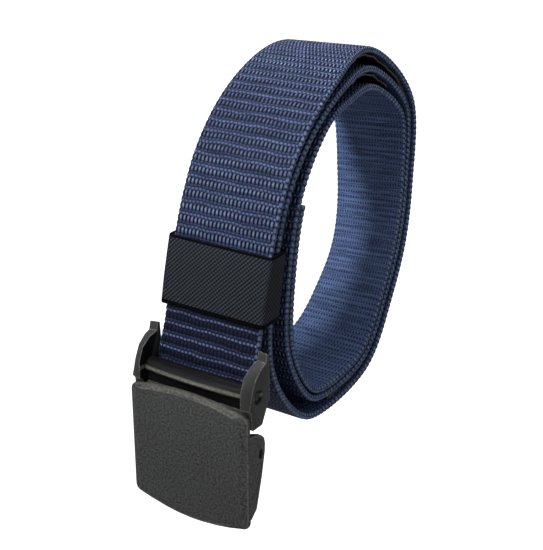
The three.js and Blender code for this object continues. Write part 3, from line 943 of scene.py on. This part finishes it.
def cam_plastic():
    """Smooth black plastic, bright along the edge that presses on the strap, partly wear and
    partly a painted highlight.
    """
    finish = Finish("cam_plastic", roughness=0.5, specular=0.15)
    place = finish.place()
    # The pale band along the cam's top edge is partly wear and partly a painted highlight.
    crest_wear_and_highlight = finish.dome(finish.axes(place)[2], (PIN[1] + CREST_RISE) * MM, CREST_HALF * MM)
    specks = finish.sharpened(finish.noise(place, GRAIN_SCALE, 2.0), 2.0)
    worn = finish.sum("MULTIPLY", crest_wear_and_highlight, finish.between(specks, 0.35, 1.1), clamp=True)
    finish.feed(
        finish.shader.inputs["Base Color"],
        finish.blend(worn, (0.006, 0.006, 0.007, 1), (0.24, 0.235, 0.2, 1)),
    )
    return finish


# %% The buckle's finishes
grained = plastic(
    "lid_plastic", (0.016, 0.017, 0.017, 1), (0.118, 0.12, 0.119, 1),
    contrast=2.6, grain=0.00012, roughness=0.55,
)
smooth = plastic(
    "side_plastic", (0.034, 0.035, 0.035, 1), (0.05, 0.051, 0.05, 1),
    contrast=1.0, grain=0.00004, roughness=0.5,
)
rubbed = plastic(
    "rubbed_edge", (0.05, 0.05, 0.046, 1), (0.22, 0.217, 0.195, 1),
    contrast=2.5, grain=0.00016, roughness=0.45,
)
# The rim's paler grey is partly wear and partly a painted highlight on its up-facing faces.
lid_top_wear_and_highlight = plastic(
    "lid_top_edge", (0.028, 0.028, 0.026, 1), (0.16, 0.157, 0.14, 1),
    contrast=2.5, grain=0.00016, roughness=0.5,
)
black = cam_plastic()
print("plastics:", *(f.material.name for f in (grained, smooth, rubbed, lid_top_wear_and_highlight, black)))

# %% Copies of the mouldings with rounded edges
SHARP_EDGE, SMOOTH_UNDER, SAME_PLANE = math.radians(30), math.radians(35), math.radians(2)


def moulding(node, name, width, finishes):
    """A copy of a CAD node whose sharp edges are rounded and take the second finish."""
    bpy.ops.object.select_all(action="DESELECT")
    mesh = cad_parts[node].data.copy()
    mesh.materials.clear()
    for finish in finishes:
        mesh.materials.append(finish.material)
    piece = bpy.data.objects.new(name, mesh)
    bpy.context.scene.collection.objects.link(piece)
    edit(piece, "EDGE")
    bpy.ops.mesh.select_all(action="SELECT")
    bpy.ops.mesh.remove_doubles(threshold=0.00001)
    bpy.ops.mesh.dissolve_limited(angle_limit=SAME_PLANE)
    bpy.ops.mesh.select_all(action="DESELECT")
    shape = bmesh.from_edit_mesh(piece.data)
    for face in shape.faces:
        face.material_index = 0
    for edge in shape.edges:
        edge.select_set(edge.calc_face_angle(0) > SHARP_EDGE)
    bpy.ops.mesh.bevel(
        offset=width, segments=2, affect="EDGES", clamp_overlap=False, material=1
    )
    done()
    place_points(piece, np.clip(coordinates(piece), *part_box(node)))
    piece.select_set(True)
    bpy.ops.object.shade_smooth_by_angle(angle=SMOOTH_UNDER)
    worn = sum(face.material_index == 1 for face in piece.data.polygons)
    print(name, len(piece.data.polygons), "faces,", worn, "of them rubbed edges")
    return piece


# %% [markdown]
# ## The lid
# The lid is one moulding with the cam that bites the strap when it is shut. The faces near the
# pin belong to the cam and take its black finish. The arched rim at the top of the plate, which
# faces up, is drawn paler, partly as wear and partly as a painted highlight. The narrow chamfers
# down both sides are kept flat, so that they stay crisp beside the smooth plate.

# %% Lid
CAM_REACH, LID_TOP_DEPTH, LID_ROUND = 4.6, 8.0, 0.4 * MM
lid = moulding("buckle_lid", "lid", LID_ROUND, (grained, rubbed, black, lid_top_wear_and_highlight))
pin_place = Vector((0, PIN[0], PIN[1])) * MM
for face in lid.data.polygons:
    from_pin = (face.center - pin_place) / MM
    if from_pin.yz.length < CAM_REACH:
        face.material_index = 2
    # Up-facing faces of the rim take the paler finish, partly wear and partly a painted
    # highlight.
    elif from_pin.z > -LID_TOP_DEPTH and face.normal.z > 0.5:
        face.material_index = 3
print("cam faces:", sum(face.material_index == 2 for face in lid.data.polygons))

# %% Lid chamfers
CHAMFER_START = 15 * MM
edit(lid)
shape = bmesh.from_edit_mesh(lid.data)
for face in shape.faces:
    chamfer = 0.15 < abs(face.normal.x) < 0.6 and face.normal.y < -0.6
    face.select_set(chamfer and abs(face.calc_center_median().x) > CHAMFER_START)
print("lid chamfer faces:", sum(face.select for face in shape.faces))
bpy.ops.mesh.faces_shade_flat()
done()
dress(lid, "lid", "plastic")
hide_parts("buckle_lid")

# %% [markdown]
# ## The buckle's sides
# The two side walls carry the pin, and each hole has a small countersink where the pin was
# pressed in. The points of the hole's rim on the outer face are drawn outward about the pin
# with a resize, while those deeper in stay, which makes the slope. Its faces take the black
# finish, because little light reaches them.

# %% Buckle sides, with a countersink round each end of the pin
SINK_REACH, SINK_WIDEN, SINK_DARK = 2.2 * MM, 1.35, 2.9 * MM
OUTER_SKIN, SIDE_ROUND = 0.1 * MM, 0.3 * MM
buckle = moulding("buckle_frame", "buckle_sides", SIDE_ROUND, (smooth, rubbed, black))
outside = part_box("buckle_frame")[1].x
edit(buckle, "VERT")
shape = bmesh.from_edit_mesh(buckle.data)
for vert in shape.verts:
    reach = (vert.co - pin_place).yz.length
    vert.select_set(abs(vert.co.x) > outside - OUTER_SKIN and reach < SINK_REACH)
print("countersink points:", sum(vert.select for vert in shape.verts))
bpy.ops.transform.resize(value=(1, SINK_WIDEN, SINK_WIDEN), center_override=pin_place)
done()
for face in buckle.data.polygons:
    below_skin = abs(face.center.x) < outside - OUTER_SKIN / 5
    if below_skin and (face.center - pin_place).yz.length < SINK_DARK:
        face.material_index = 2
dress(buckle, "belt", "plastic")
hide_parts("buckle_frame")

# %% [markdown]
# ## The pin
# The pin is a short piece of drawn wire. Only its ends show, at the bottom of the holes, so its
# CAD shape stays and takes a dull steel with a fine grain, its colour painted far darker than
# steel as painted shade for the bottom of the holes.

# %% Pin finish
PIN_GRAIN = 900
steel = Finish("drawn_wire", roughness=0.4)
steel.shader.inputs["Metallic"].default_value = 1.0
grain = steel.noise(steel.place(), PIN_GRAIN, 3.0)
# The steel's colour is made very dark, as painted shade at the bottom of the holes.
steel.feed(
    steel.shader.inputs["Base Color"],
    steel.blend(grain, (0.02, 0.02, 0.02, 1), (0.08, 0.08, 0.08, 1)),
)
steel.bump(grain, 0.03 * MM)
pin_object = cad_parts["pivot_pin"]
pin_object.data.materials.clear()
pin_object.data.materials.append(steel.material)
print("pin finish:", steel.material.name)

# %% [markdown]
# ## The end
# Nothing is left selected.

# %% The end
bpy.ops.object.select_all(action="DESELECT")
